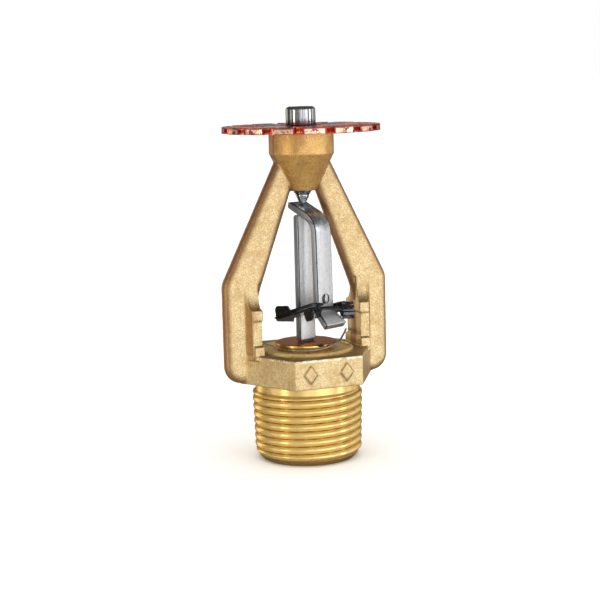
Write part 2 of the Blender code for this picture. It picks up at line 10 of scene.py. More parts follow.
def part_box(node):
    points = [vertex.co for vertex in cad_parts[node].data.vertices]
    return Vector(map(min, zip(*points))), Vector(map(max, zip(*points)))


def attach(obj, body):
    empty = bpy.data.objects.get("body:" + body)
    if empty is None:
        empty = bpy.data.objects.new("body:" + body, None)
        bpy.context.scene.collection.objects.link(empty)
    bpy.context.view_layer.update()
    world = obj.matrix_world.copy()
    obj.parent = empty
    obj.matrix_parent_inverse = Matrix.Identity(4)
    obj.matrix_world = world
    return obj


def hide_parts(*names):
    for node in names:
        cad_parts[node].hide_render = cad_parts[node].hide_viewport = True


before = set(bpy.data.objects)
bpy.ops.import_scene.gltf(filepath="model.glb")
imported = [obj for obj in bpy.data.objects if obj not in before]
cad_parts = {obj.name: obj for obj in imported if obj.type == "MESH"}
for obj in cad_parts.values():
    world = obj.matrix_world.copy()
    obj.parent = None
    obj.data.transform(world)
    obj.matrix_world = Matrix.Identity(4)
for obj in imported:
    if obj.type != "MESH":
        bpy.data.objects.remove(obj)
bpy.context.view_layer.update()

MM = 0.001
MERGE = 0.000002
WHITE = (1.0, 1.0, 1.0)


# ---- places, in millimetres, read from the frame where it has them ----

def node_box(node):
    low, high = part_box(node)
    return Vector(low) / MM, Vector(high) / MM


DEFLECTOR_LOW, DEFLECTOR_HIGH = node_box("deflector")
SCREW_LOW, SCREW_HIGH = node_box("compression_screw")
STRUT_LOW, STRUT_HIGH = node_box("strut")
BUTTON_LOW, BUTTON_HIGH = node_box("button")
WASHER_LOW, WASHER_HIGH = node_box("spring_washer")

HEX_BOTTOM = 19.0
HEX_TOP = 26.0
HEX_FLATS = 29.0
SEAT_Z = 25.4
SEAT_RADIUS = 11.5
BORE_RADIUS = 8.9
NECK_RADIUS = 12.3
MARK_HEIGHT = 22.5
MARK_PLACES = (-4.6, 4.3)      # across the front flat
MARK_REACH = (1.6, 2.1)        # half a diamond's width and height

THREAD_PITCH = 1.814
THREAD_RADIUS = 13.15
THREAD_DEPTH = 0.85
THREAD_TAPER = 1 / 32
THREAD_START = 1.3
THREAD_END = 16.4
INLET_COLUMNS, INLET_ROWS = 240, 230

ARM_OUTER = 20.6
ARM_INNER = 12.2
ARM_HALF = 1.9
ARM_ROUNDING = 2.4
ELBOW_Z = 42.6
INNER_BEND_Z = 38.7
ARM_TOP_OUTER = (7.0, 70.2)
ARM_TOP_INNER = (3.2, 63.6)
ARM_CORNER = 4.2
GUIDE_INNER = 12.4
GUIDE_OUTER = 14.65
GUIDE_HALF = 4.15
SHOULDER_Z = 36.7
APEX_Z = 42.6
FLANGE_INNER = 15.85           # where the guide's slanted outer face meets the arm's flange
FLANGE_STEP = 1.5

BOSS_RADIUS = 7.6
BOSS_TIP_RADIUS = 3.3
BOSS_TOP = DEFLECTOR_LOW.z - 0.05
BOSS_CONE = 72.3
BOSS_TIP = 63.6
BOSS_HOLE = 2.6
NOSE_RADIUS = 4.4

CASTING_VOXEL = 0.17
CASTING_GRAIN = 1.1            # size of the surface's hollows, and how deep they go
CASTING_GRAIN_DEPTH = 0.07

DEFLECTOR_SLOTS = 16
SLOT_WIDTH = 1.9
SLOT_END = 11.0                # how near the axis a slot reaches
RIM_START = 17.6               # the bare copper of the deflector's rim begins and is full
RIM_END = 17.9

SCREW_HEAD = 3.5
SCREW_SHANK = 2.2
SOCKET_ACROSS = 3.5

TRIGGER_TURN = radians(-67.0)
STRIP_THICKNESS = 1.65
STRIP_WIDTH = 5.1
STRIP_EDGE = 0.27
HOOK_SLOPE = radians(23.0)
HOOK_START = -1.8              # the hook's free end, its bend and its foot
HOOK_BEND = 5.8
HOOK_KNEE = (6.2, 35.4)
HOOK_FOOT = (9.95, 32.35)
FOOT_START = 6.9               # where the foot begins to widen, over what length and by how much
FOOT_LENGTH = 3.2
FOOT_WIDENING = 0.30
FOOT_TOP = 36.0
DIMPLE_Z = 38.5
DIMPLE_PLACE = 6.13            # the middle of the hook's leg there
DIMPLE_RADIUS = 1.2
DIMPLE_HEIGHT = 0.32
STRUT_CHAMFER = 0.45
LINK_TILT = radians(17.6)
LINK_DROOP = radians(5.5)
LINK_Z = 34.9
LINK_START = -3.25
LINK_END = 9.65
LINK_HALF = 6.7
LINK_THICKNESS = 0.6
LINK_LEVEL = 0.43              # height of each plate's middle above or below the solder
FIN_HALF = 0.2                 # half the thickness of a fin
LEG_PLACE = 6.42

BUTTON_RADIUS = 7.3
BUTTON_RIM = 0.75
NICK_TURN = radians(-82)
NICK_HALF = radians(7.0)
NICK_START = 6.2
NICK_DEPTH = 0.42
WIRE_RADIUS = 0.24

# ---- the studio, in metres ----

CAMERA_YAW = radians(20.9)
CAMERA_DISTANCE = 0.3556
CAMERA_HEIGHT = 0.0929
CAMERA_PITCH = radians(8.84)
CAMERA_ROLL = radians(1.455)
CAMERA_PAN = radians(-0.195)
CAMERA_LENS = 91.2

ROOM_BACK = 0.14               # the room's brightness behind the object and on the camera's side
ROOM_FRONT = 0.50
SIDE_LIGHTS = (                # name, degrees to the camera's right, width, distance, strength, colour
    ("key", 38, 0.44, 0.60, 1.6, WHITE),
    ("right_core", 78, 0.09, 0.60, 4.5, WHITE),
    ("right_fill", 108, 0.24, 0.60, 0.8, WHITE),
    ("left_core", -52, 0.06, 0.60, 7.5, (1.0, 0.86, 0.62)),
    ("left_fill", -78, 0.14, 0.60, 0.8, (1.0, 0.97, 0.92)),
    ("left_rear", -132, 0.22, 0.60, 1.6, (1.0, 0.84, 0.58)),
    ("right_rear", 135, 0.22, 0.60, 0.7, (1.0, 0.88, 0.66)),
    ("front_fill", 2, 0.26, 0.62, 0.9, WHITE),
)
LIGHT_TARGET = Vector((0, 0, 0.045))


# ---- turns and moves ----

def spun(angle, axis):
    return Matrix.Rotation(angle, 4, axis)


def shift(across=0.0, along=0.0, up=0.0):
    """A move by millimetres."""
    return Matrix.Translation((across * MM, along * MM, up * MM))


TRIGGER_MATRIX = spun(TRIGGER_TURN, "Z")
TRIGGER_ALONG = Vector((cos(TRIGGER_TURN), sin(TRIGGER_TURN), 0.0))
TRIGGER_ACROSS = Vector((-sin(TRIGGER_TURN), cos(TRIGGER_TURN), 0.0))
LINK_MATRIX = TRIGGER_MATRIX @ shift(up=LINK_Z) @ spun(-LINK_TILT, "Y")


# ---- mesh helpers ----

def configured(thing, **settings):
    for key, value in settings.items():
        setattr(thing, key, value)
    return thing


def in_scene(name, data):
    thing = bpy.data.objects.new(name, data)
    bpy.context.scene.collection.objects.link(thing)
    return thing


def add_mesh(name, vertices, faces, edges=()):
    """A mesh object from places in millimetres."""
    mesh = bpy.data.meshes.new(name)
    mesh.from_pydata([tuple(Vector(vertex) * MM) for vertex in vertices], list(edges), faces)
    mesh.validate()
    return in_scene(name, mesh)


def settled(piece, weld=True):
    """Apply a piece's modifiers and its place to its mesh."""
    bpy.context.view_layer.update()
    depsgraph = bpy.context.evaluated_depsgraph_get()
    mesh = bpy.data.meshes.new_from_object(piece.evaluated_get(depsgraph))
    mesh.transform(piece.matrix_world)
    name = piece.name
    bpy.data.objects.remove(piece, do_unlink=True)
    if weld:
        shape = bmesh.new()
        shape.from_mesh(mesh)
        bmesh.ops.remove_doubles(shape, verts=shape.verts, dist=MERGE)
        bmesh.ops.recalc_face_normals(shape, faces=shape.faces)
        shape.to_mesh(mesh)
        shape.free()
    return in_scene(name, mesh)


def combined(piece, others, operation="UNION"):
    for other in others:
        configured(piece.modifiers.new("shape", "BOOLEAN"), operation=operation, solver="EXACT",
                   object=other)
    piece = settled(piece)
    for other in others:
        bpy.data.objects.remove(other, do_unlink=True)
    return piece


def bevelled(piece, width, segments=3, degrees=40, limited=True):
    """Round the edges sharper than an angle; unlimited, the width holds at short edges too."""
    configured(piece.modifiers.new("edges", "BEVEL"), use_clamp_overlap=limited, width=width * MM,
               segments=segments, limit_method="ANGLE", angle_limit=radians(degrees))
    return settled(piece)


def smooth(piece, degrees=35):
    piece.data.shade_smooth()
    piece.data.set_sharp_from_angle(angle=radians(degrees))
    return piece


def turned(name, profile, steps=96):
    """Spin (radius, height) points, listed down the outer side, about the Z axis."""
    closed = profile[0][0] > 0 and profile[-1][0] > 0
    count = len(profile)
    edges = [(index, index + 1) for index in range(count - 1)]
    if closed:
        edges.append((count - 1, 0))
    piece = add_mesh(name, [(radius, 0, height) for radius, height in profile], [], edges)
    configured(piece.modifiers.new("turn", "SCREW"), steps=steps, render_steps=steps,
               use_merge_vertices=True, merge_threshold=MERGE)
    return settled(piece)


def rounded_profile(corners, radius, steps=4):
    """A profile with its inner corners rounded as far as there is room."""
    points = [Vector(corners[0])]
    for before, corner, after in zip(corners, corners[1:], corners[2:]):
        before, corner, after = Vector(before), Vector(corner), Vector(after)
        reach = min(radius, (before - corner).length * 0.45, (after - corner).length * 0.45)
        start = corner + (before - corner).normalized() * reach
        end = corner + (after - corner).normalized() * reach
        for step in range(steps + 1):
            share = step / steps
            points.append(start.lerp(corner, share).lerp(corner.lerp(end, share), share))
    points.append(Vector(corners[-1]))
    return [tuple(point) for point in points]


def box(name, corner, opposite):
    shape = bmesh.new()
    bmesh.ops.create_cube(shape, size=1.0)
    size = [abs(last - first) * MM for first, last in zip(corner, opposite)]
    centre = [(last + first) / 2 * MM for first, last in zip(corner, opposite)]
    bmesh.ops.scale(shape, vec=size, verts=shape.verts)
    bmesh.ops.translate(shape, vec=centre, verts=shape.verts)
    mesh = bpy.data.meshes.new(name)
    shape.to_mesh(mesh)
    shape.free()
    return in_scene(name, mesh)


def plate(name, outlines, half_thickness):
    """A flat plate in the XY plane; an inner outline is a hole."""
    curve = configured(bpy.data.curves.new(name, "CURVE"), dimensions="2D", fill_mode="BOTH",
                       extrude=half_thickness * MM)
    for outline in outlines:
        spline = curve.splines.new("POLY")
        spline.points.add(len(outline) - 1)
        spline.use_cyclic_u = True
        for point, (across, along) in zip(spline.points, outline):
            point.co = (across * MM, along * MM, 0.0, 1.0)
    return settled(in_scene(name, curve))


def loft(name, rings, looped=False):
    """A closed skin through rings of points, with end faces unless it is looped."""
    count, levels = len(rings[0]), len(rings)
    vertices = [point for ring in rings for point in ring]
    faces = [] if looped else [tuple(range(count - 1, -1, -1)),
                               tuple(range((levels - 1) * count, levels * count))]
    for level in range(levels if looped else levels - 1):
        above = (level + 1) % levels
        for index in range(count):
            after = (index + 1) % count
            faces.append((level * count + index, level * count + after,
                          above * count + after, above * count + index))
    return settled(add_mesh(name, vertices, faces))


def inset(outline, depth):
    """The outline, listed anticlockwise, moved inward by a depth."""
    points = [Vector(point) for point in outline]
    moved_in = []
    for index, point in enumerate(points):
        ahead = (points[(index + 1) % len(points)] - point).normalized()
        behind = (point - points[index - 1]).normalized()
        first = Vector((-behind.y, behind.x))
        second = Vector((-ahead.y, ahead.x))
        moved_in.append(point + (first + second) * depth / max(1 + first.dot(second), 0.2))
    return [tuple(point) for point in moved_in]


def rounded_slab(name, outline, half_thickness, rounding, steps=12):
    """A slab in the XZ plane whose rounded rim runs softly into its faces."""
    rings = []
    for step in range(2 * steps + 1):
        swing = pi * step / (2 * steps) - pi / 2
        depth = rounding * (1 - max(cos(swing), 0.0) ** 0.75)
        along = half_thickness * sin(swing)
        rings.append([(across, along, height) for across, height in inset(outline, depth)])
    return loft(name, rings)


def moved(piece, matrix):
    piece.data.transform(matrix)
    return piece


def upright(piece):
    """Turn a plate from XY into XZ."""
    return moved(piece, spun(pi / 2, "X"))


def shifted(piece, **places):
    return moved(piece, shift(**places))


def arc(centre, radius, start, end, steps):
    points = []
    for step in range(steps + 1):
        angle = radians(start + (end - start) * step / steps)
        points.append((centre[0] + radius * cos(angle), centre[1] + radius * sin(angle)))
    return points


def hexagon_outline(across_flats, turn=0.0):
    reach = across_flats / sqrt(3)
    return [(reach * cos(tau * corner / 6 + turn), reach * sin(tau * corner / 6 + turn))
            for corner in range(6)]


# ---- material helpers ----

def scaled(color, share):
    return tuple(min(1.0, part * share) for part in color)


def put(value, socket):
    """Set a socket to a plain value, or link another socket to it."""
    if isinstance(value, bpy.types.NodeSocket):
        socket.id_data.links.new(value, socket)
    else:
        socket.default_value = value


def paint(shader, color, roughness=None):
    put(color, shader.inputs["Base Color"])
    if roughness:
        put(roughness, shader.inputs["Roughness"])


def add_node(tree, kind, **values):
    """A node with its settings, or its sockets where no setting has that name."""
    node = tree.nodes.new("ShaderNode" + kind)
    for key, value in values.items():
        if hasattr(node, key):
            setattr(node, key, value)
        else:
            put(value, node.inputs[key.replace("_", " ")])
    return node


def object_coordinates(tree):
    return add_node(tree, "TexCoord").outputs["Object"]


def along_axes(vector):
    """The X, Y and Z of a vector."""
    return tuple(add_node(vector.id_data, "SeparateXYZ", Vector=vector).outputs)


def facing(place):
    """The X, Y and Z of the surface's normal."""
    return along_axes(add_node(place.id_data, "NewGeometry").outputs["Normal"])


def worked_out(kind, operation, values):
    """A maths node over a socket and further sockets or plain values."""
    node = add_node(values[0].id_data, kind, operation=operation)
    for value, socket in zip(values, node.inputs):
        put(value, socket)
    return node.outputs


def from_axis(place):
    """The distance from the head's axis."""
    flat = worked_out("VectorMath", "MULTIPLY", (place, (1.0, 1.0, 0.0)))["Vector"]
    return worked_out("VectorMath", "LENGTH", (flat,))["Value"]


def new_material(name, color, roughness, metallic=1.0, **sockets):
    """A material with its shader and the object's own coordinates."""
    material = bpy.data.materials.new(name)
    material.use_nodes = True
    material.diffuse_color = (*color, 1.0)
    shader = material.node_tree.nodes["Principled BSDF"]
    sockets.update(Base_Color=(*color, 1.0), Roughness=roughness, Metallic=metallic)
    for socket, value in sockets.items():
        put(value, shader.inputs[socket.replace("_", " ")])
    return material, shader, object_coordinates(material.node_tree)


def noise(place, scale, detail=3.0, roughness=0.6, stretch=None):
    """Noise whose scale is in features per millimetre."""
    if stretch:
        place = add_node(place.id_data, "Mapping", Vector=place, Scale=stretch).outputs["Vector"]
    return add_node(place.id_data, "TexNoise", Vector=place, Scale=scale / MM, Detail=detail,
                    Roughness=roughness).outputs["Fac"]


def ramp(value, stops):
    node = add_node(value.id_data, "ValToRGB", Fac=value)
    elements = node.color_ramp.elements
    while len(elements) < len(stops):
        elements.new(0.5)
    for element, (place, color) in zip(elements, stops):
        element.position = place
        element.color = (*color, 1.0)
    return node.outputs["Color"]


def spread(value, low, high, from_low=0.3, from_high=0.7):
    """A value's middle range, spread between two others."""
    return add_node(value.id_data, "MapRange", Value=value, From_Min=from_low, From_Max=from_high,
                    To_Min=low, To_Max=high).outputs["Result"]


def past(value, start, end):
    """0 up to a start and 1 from an end, both in millimetres."""
    return spread(value, 0.0, 1.0, start * MM, end * MM)


def short_of(value, start, end):
    """1 up to a start and 0 from an end, both in millimetres."""
    return spread(value, 1.0, 0.0, start * MM, end * MM)


def calculated(operation, *values):
    return worked_out("Math", operation, values)["Value"]


def multiplied(product, *others):
    for other in others:
        product = calculated("MULTIPLY", product, other)
    return product


def mixed(factor, first, second, blend="MIX"):
    """Two colours mixed; one of them may be plain."""
    tree = (second if isinstance(first, tuple) else first).id_data
    node = add_node(tree, "Mix", data_type="RGBA", blend_type=blend)
    put(factor, node.inputs[0])
    for color, socket in ((first, node.inputs[6]), (second, node.inputs[7])):
        put((*color, 1.0) if isinstance(color, tuple) else color, socket)
    return node.outputs[2]


def tinted(factor, color, tint):
    """A colour that is multiplied by a tint as far as the factor says."""
    return mixed(factor, color, mixed(1.0, color, tint, "MULTIPLY"))


def bump(shader, height, distance, strength=1.0):
    node = add_node(shader.id_data, "Bump", Height=height, Distance=distance * MM,
                    Strength=strength)
    put(node.outputs["Normal"], shader.inputs["Normal"])


# ---- materials ----

def cast_brass():
    """Shot-blasted casting: pale sandy gold, finely pitted, with painted shade brown in its corners, grooves
    and on the arms' sides, and painted light on the boss.
    """
    material, shader, place = new_material("cast_brass", (0.70, 0.56, 0.30), 0.5,
                                           Specular_Tint=(0.45, 0.28, 0.14, 1.0), Coat_Weight=1.0,
                                           Coat_Roughness=0.42, Coat_IOR=1.95)
    across, depth, height = along_axes(place)
    across, depth = calculated("ABSOLUTE", across), calculated("ABSOLUTE", depth)
    grain = noise(place, 4.5, 4.0, 0.78)
    fine = ramp(grain, [(0.33, (0.38, 0.19, 0.04)), (0.46, (0.63, 0.44, 0.14)),
                        (0.54, (0.77, 0.62, 0.29)), (0.66, (0.98, 0.95, 0.80))])
    patches = noise(place, 0.34, 4.0, 0.65)
    warm = ramp(patches, [(0.36, (0.82, 0.71, 0.54)), (0.58, WHITE)])
    color = mixed(1.0, fine, warm, "MULTIPLY")
    color = tinted(past(height, 36.0, 52.0), color, (0.92, 0.88, 0.81))
    # painted shade: faces within 1.5 mm of the arms' middle plane, chiefly the arms' rounded sides, are
    # tinted dark brown
    shaded_rim_sides = short_of(depth, 1.5, 1.86)
    color = tinted(shaded_rim_sides, color, (0.56, 0.34, 0.10))

    # painted shade: the guides' grooves, between guide and flange, are tinted darker amber
    shaded_groove = multiplied(short_of(across, FLANGE_INNER - 0.1, FLANGE_INNER),
                        past(across, GUIDE_OUTER, GUIDE_OUTER + 0.1),
                        short_of(height, SHOULDER_Z, APEX_Z),
                        past(height, HEX_TOP, HEX_TOP + 0.2))
    color = tinted(shaded_groove, color, (0.68, 0.50, 0.20))

    # the bright broken burr along the hexagon's upper edge, away from the arms' feet
    upright_face = spread(facing(place)[2], 1.0, 0.0, 0.8, 0.97)
    broken = spread(noise(place, 0.8, 2.0), 0.0, 0.8, 0.44, 0.54)
    burr = multiplied(past(height, HEX_TOP - 0.75, HEX_TOP - 0.5),
                      short_of(height, HEX_TOP + 0.1, HEX_TOP + 0.3), upright_face,
                      past(depth, GUIDE_HALF + 0.1, GUIDE_HALF + 0.5),
                      short_of(across, GUIDE_INNER - 0.6, GUIDE_INNER), broken)
    color = mixed(burr, color, (1.0, 0.93, 0.78))

    cone = multiplied(past(depth, ARM_HALF, ARM_HALF + 0.25),
                      past(height, BOSS_TIP - 4.0, BOSS_TIP - 3.0))
    boss = calculated("MAXIMUM", past(height, BOSS_CONE - 2.0, BOSS_CONE - 1.0), cone)
    color = tinted(boss, color, (1.0, 0.80, 0.34))
    # painted light: the boss off the arms' plane, with its downward cone, is lightened
    color = tinted(cone, color, (1.12, 1.12, 1.15))
    pointiness = add_node(place.id_data, "NewGeometry").outputs["Pointiness"]
    # painted shade: hollow corners, where pointiness is low, are tinted dark brown
    corner = spread(pointiness, 1.0, 0.0, 0.40, 0.475)
    paint(shader, tinted(corner, color, (0.52, 0.29, 0.12)), spread(grain, 0.40, 0.56))
    bump(shader, noise(place, 2.0, 5.0, 0.75), 0.055, 0.9)
    return material


def machined_brass():
    """Turned brass: satin, with painted shade darkening the thread's roots, and tool lines round the axis."""
    material, shader, place = new_material("machined_brass", (0.88, 0.62, 0.23), 0.26, 0.75,
                                           Specular_Tint=(0.9, 0.72, 0.45, 1.0),
                                           Coat_Weight=0.35, Coat_Roughness=0.24)
    height = along_axes(place)[2]
    color = ramp(noise(place, 0.22, 2.0), [(0.3, (0.825, 0.593, 0.195)),
                                           (0.7, (0.895, 0.663, 0.265))])
    untapered = calculated("MULTIPLY_ADD", height, -THREAD_TAPER, from_axis(place))
    root = THREAD_RADIUS - THREAD_END * THREAD_TAPER - THREAD_DEPTH
    # painted shade: the thread's roots are darkened to thin brown lines
    shaded_root = multiplied(short_of(untapered, root + 0.04, root + 0.60),
                      short_of(height, THREAD_END, THREAD_END + 0.4))
    shade = ramp(shaded_root, [(0.0, WHITE), (0.6, (0.80, 0.74, 0.64)),
                        (0.92, (0.34, 0.27, 0.20))])
    lines = noise(place, 6.0, 2.0, stretch=(0.05, 0.05, 1.0))
    paint(shader, mixed(1.0, color, shade, "MULTIPLY"), spread(lines, 0.25, 0.34))
    bump(shader, lines, 0.01, 0.5)
    return material


def deflector_copper():
    """Copper: crimson and violet on its faces, bare peach at the rim, red in the slots, with painted shade
    along the rim's edges and a painted highlight on its rounded edges.
    """
    material, shader, place = new_material("deflector_copper", (0.75, 0.30, 0.18), 0.2, 0.9,
                                           Specular_Tint=(0.42, 0.13, 0.18, 1.0))
    x, y, height = along_axes(place)
    specks = noise(place, 0.8, 3.0)
    rim = ramp(specks, [(0.36, (0.22, 0.06, 0.12)), (0.43, (0.97, 0.60, 0.38)),
                        (0.62, (1.0, 0.80, 0.62))])

    # painted shade: the rim turns dark red beside each slot and along its upper and lower edges
    turn = calculated("MULTIPLY", calculated("ARCTAN2", y, x), DEFLECTOR_SLOTS / tau)
    from_slot = calculated("PINGPONG", turn, 0.5)
    rim = mixed(spread(from_slot, 1.0, 0.0, 0.165, 0.21), rim, (0.32, 0.03, 0.06))
    middle = (DEFLECTOR_LOW.z + DEFLECTOR_HIGH.z) / 2
    half = (DEFLECTOR_HIGH.z - DEFLECTOR_LOW.z) / 2
    off_middle = calculated("ABSOLUTE", calculated("SUBTRACT", height, middle * MM))
    border = spread(off_middle, 0.0, 0.85, (half - 0.30) * MM, (half - 0.16) * MM)
    rim = mixed(border, rim, (0.34, 0.08, 0.07))

    slots = ramp(specks, [(0.35, (0.45, 0.05, 0.03)), (0.6, (0.80, 0.22, 0.08))])
    sides = mixed(past(from_axis(place), RIM_START, RIM_END), slots, rim)
    level = calculated("ABSOLUTE", facing(place)[2])
    # painted highlight: the rounded edges between the rim and the faces are pale lavender
    sides = mixed(spread(level, 0.0, 1.0, 0.25, 0.45), sides, (0.72, 0.42, 0.50))
    clouds = noise(place, 0.11, 3.0)
    tint = ramp(clouds, [(0.34, (0.36, 0.13, 0.32)), (0.45, (0.34, 0.03, 0.08)),
                         (0.56, (0.38, 0.03, 0.04)), (0.68, (0.30, 0.08, 0.20))])
    face = spread(level, 0.0, 1.0, 0.80, 0.95)
    paint(shader, mixed(face, sides, tint), spread(specks, 0.12, 0.26))
    bump(shader, noise(place, 0.9, 4.0), 0.10, 0.8)
    return material


def plated_steel(name, color, roughness, streak=0.9, metallic=0.85):
    """Satin plated steel: upright streaks and a fine mottle; faint, the streaks are drawing lines, and
    strong, as on the turned screw head, they are painted reflections.
    """
    material, shader, place = new_material(name, color, roughness, metallic,
                                           Specular_Tint=(0.8, 0.82, 0.86, 1.0))
    lines = noise(place, 2.2, 3.0, stretch=(1.0, 1.0, 0.04))
    marks = noise(place, 1.6, 5.0, 0.7)
    shade = ramp(marks, [(0.32, scaled(color, 0.84)), (0.50, color), (0.68, scaled(color, 1.08))])
    upright_streaks = ramp(lines, [(0.35, (streak, streak, streak * 1.01)), (0.62, WHITE)])
    paint(shader, mixed(1.0, shade, upright_streaks, "MULTIPLY"), spread(marks, roughness * 0.85, roughness * 1.2))
    bump(shader, marks, 0.015, 0.5)
    return material


def polish_with_painted_reflection_above(material, low, high):
    """Above a height, where the hook bends, the plating mirrors the room, and its colour turns darker, with
    painted reflections in dark and light bluish streaks.
    """
    shader = material.node_tree.nodes["Principled BSDF"]
    place = object_coordinates(material.node_tree)
    height = along_axes(place)[2]
    for socket, polished in (("Metallic", 0.95), ("Roughness", 0.22)):
        plain = shader.inputs[socket].default_value
        put(spread(height, plain, polished, low * MM, high * MM), shader.inputs[socket])
    # painted reflection: dark and light bluish streaks take the colour's place above the height
    shade = ramp(noise(place, 0.9, 3.0, 0.6, (1.0, 0.5, 1.0)),
                 [(0.38, (0.36, 0.41, 0.47)), (0.52, (0.56, 0.62, 0.70)), (0.64, (0.84, 0.90, 0.98))])
    before = shader.inputs["Base Color"].links[0].from_socket
    paint(shader, mixed(past(height, low, high), before, shade))


def darken_foot_below(material, low, high, color):
    """Darken a material below a height, at the strut's foot, to a given colour."""
    height = along_axes(object_coordinates(material.node_tree))[2]
    socket = material.node_tree.nodes["Principled BSDF"].inputs["Base Color"]
    put(mixed(past(height, low, high), color, socket.links[0].from_socket), socket)


def black_coating():
    """Thick glossy black coating, with a little orange peel."""
    material, shader, place = new_material("black_coating", (0.005, 0.006, 0.008), 0.2, 0.0,
                                           Specular_IOR_Level=0.28,
                                           Specular_Tint=(0.72, 0.86, 1.0, 1.0))
    scuffs = noise(place, 1.4, 4.0, 0.7)
    paint(shader, ramp(scuffs, [(0.45, (0.004, 0.004, 0.005)), (0.72, (0.016, 0.016, 0.018))]),
          spread(scuffs, 0.10, 0.24))
    bump(shader, noise(place, 0.6, 1.0), 0.05, 0.4)
    return material


def grey_coating(name, color, roughness, metallic, level):
    """The black coating in grey, mottled lighter and darker; on the link plates' edges it is a painted
    highlight.
    """
    material, shader, place = new_material(name, color, roughness, metallic, Specular_IOR_Level=level)
    grey_mottle = noise(place, 1.8, 4.0, 0.7)
    paint(shader, ramp(grey_mottle, [(0.38, scaled(color, 0.55)), (0.62, scaled(color, 1.35))]),
          spread(grey_mottle, roughness * 1.3, roughness * 0.8))
    return material


def button_copper():
    """Brown oxidised face, with the bare golden edge where it was sheared."""
    material, shader, place = new_material("button_copper", (0.30, 0.13, 0.07), 0.4,
                                           Specular_Tint=(0.7, 0.5, 0.4, 1.0))
    clouds = noise(place, 0.35, 4.0)
    face = ramp(clouds, [(0.3, (0.54, 0.23, 0.10)), (0.5, (0.64, 0.29, 0.13)),
                         (0.7, (0.76, 0.39, 0.18))])
    flat = spread(facing(place)[2], 0.0, 1.0, 0.93, 0.985)
    paint(shader, mixed(flat, (0.92, 0.60, 0.16), face), spread(clouds, 0.2, 0.34))
    bump(shader, noise(place, 1.5, 3.0), 0.01, 0.5)
    return material


def washer_brass():
    """Rolled washer: dull bronze in soft clouds, with a fine grain."""
    material, shader, place = new_material("washer_brass", (0.70, 0.50, 0.22), 0.3, 0.7,
                                           Specular_Tint=(0.6, 0.45, 0.3, 1.0))
    clouds = noise(place, 0.3, 3.0)
    paint(shader, ramp(clouds, [(0.3, (0.86, 0.60, 0.23)), (0.7, (1.0, 0.78, 0.36))]),
          spread(clouds, 0.22, 0.38))
    bump(shader, noise(place, 2.0, 2.0), 0.01, 0.5)
    return material


def film_plastic():
    """The seal films: milky fluoropolymer in faint clouds."""
    material, shader, place = new_material("film_plastic", (0.80, 0.80, 0.77), 0.5, 0.0)
    clouds = noise(place, 0.5, 3.0)
    paint(shader, ramp(clouds, [(0.3, (0.74, 0.74, 0.70)), (0.7, (0.86, 0.86, 0.84))]))
    bump(shader, clouds, 0.02, 0.4)
    return material


def dull_solder():
    """The solder between the link plates: dull grey and slightly lumpy."""
    material, shader, place = new_material("dull_solder", (0.46, 0.46, 0.45), 0.45)
    lumps = noise(place, 0.9, 4.0)
    paint(shader, ramp(lumps, [(0.3, (0.34, 0.34, 0.34)), (0.7, (0.58, 0.58, 0.56))]))
    bump(shader, lumps, 0.04, 0.6)
    return material


def outline_edges(piece, material, highest=0.93):
    """Give a piece's edges, whose faces lie square to no axis, their own material."""
    piece.data.materials.append(material)
    slot = len(piece.data.materials) - 1
    for polygon in piece.data.polygons:
        if max(abs(share) for share in polygon.normal) < highest:
            polygon.material_index = slot


def dress(piece, material, slot, body, *nodes):
    """Give a piece its material, body and the CAD nodes it stands for; the slot argument is not used."""
    piece.data.materials.clear()
    piece.data.materials.append(material)
    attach(piece, body)
    if nodes:
        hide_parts(*nodes)
    return piece


# ---- frame casting ----

def arm_outline(top):
    """One arm from the front, anticlockwise, its ends buried in the hexagon and the boss."""
    foot = SEAT_RADIUS - 1.0
    lean_out = (ARM_TOP_OUTER[0] - ARM_OUTER) / (ARM_TOP_OUTER[1] - ELBOW_Z)
    lean_in = (ARM_TOP_INNER[0] - ARM_INNER) / (ARM_TOP_INNER[1] - INNER_BEND_Z)
    corner = (ARM_OUTER - ARM_CORNER, HEX_BOTTOM + 0.15 + ARM_CORNER)
    points = [(foot, HEX_BOTTOM + 0.15)]
    points += arc(corner, ARM_CORNER, -90, 0, 12)
    points += rounded_profile([(ARM_OUTER, 30.0), (ARM_OUTER, ELBOW_Z), ARM_TOP_OUTER], 1.2, 5)[1:]
    points += [(ARM_TOP_OUTER[0] + lean_out * (top - ARM_TOP_OUTER[1]), top),
               (ARM_TOP_INNER[0] + lean_in * (top - ARM_TOP_INNER[1]), top)]
    points += rounded_profile([ARM_TOP_INNER, (ARM_INNER, INNER_BEND_Z), (ARM_INNER, 30.0)], 3.0, 6)[:-1]
    points += [(ARM_INNER, HEX_TOP - 1.0), (foot, HEX_TOP - 1.0)]
    return points


def guide_ring(side, height, share):
    """The guide's section: full width at share 0, sunk to the flange step at 1."""
    reach = GUIDE_HALF - (GUIDE_HALF - FLANGE_STEP) * share
    outer = GUIDE_OUTER + (FLANGE_INNER - GUIDE_OUTER) * share
    half = [(GUIDE_INNER, reach), (outer, reach), (FLANGE_INNER, FLANGE_STEP)]
    ring = half + [(across, -along) for across, along in reversed(half)]
    return [(side * across, along, height) for across, along in ring]


def guide(side):
    """The guide inside each arm; its shoulder runs out in a hollow curve."""
    rings = [guide_ring(side, HEX_TOP - 1.0, 0.0), guide_ring(side, SHOULDER_Z - 0.2, 0.0)]
    steps = 18
    for step in range(steps + 1):
        swing = step / steps * pi / 2
        height = SHOULDER_Z + (APEX_Z - SHOULDER_Z) * (1 - cos(swing))
        rings.append(guide_ring(side, height, 0.85 * sin(swing)))
    return loft("guide", rings)


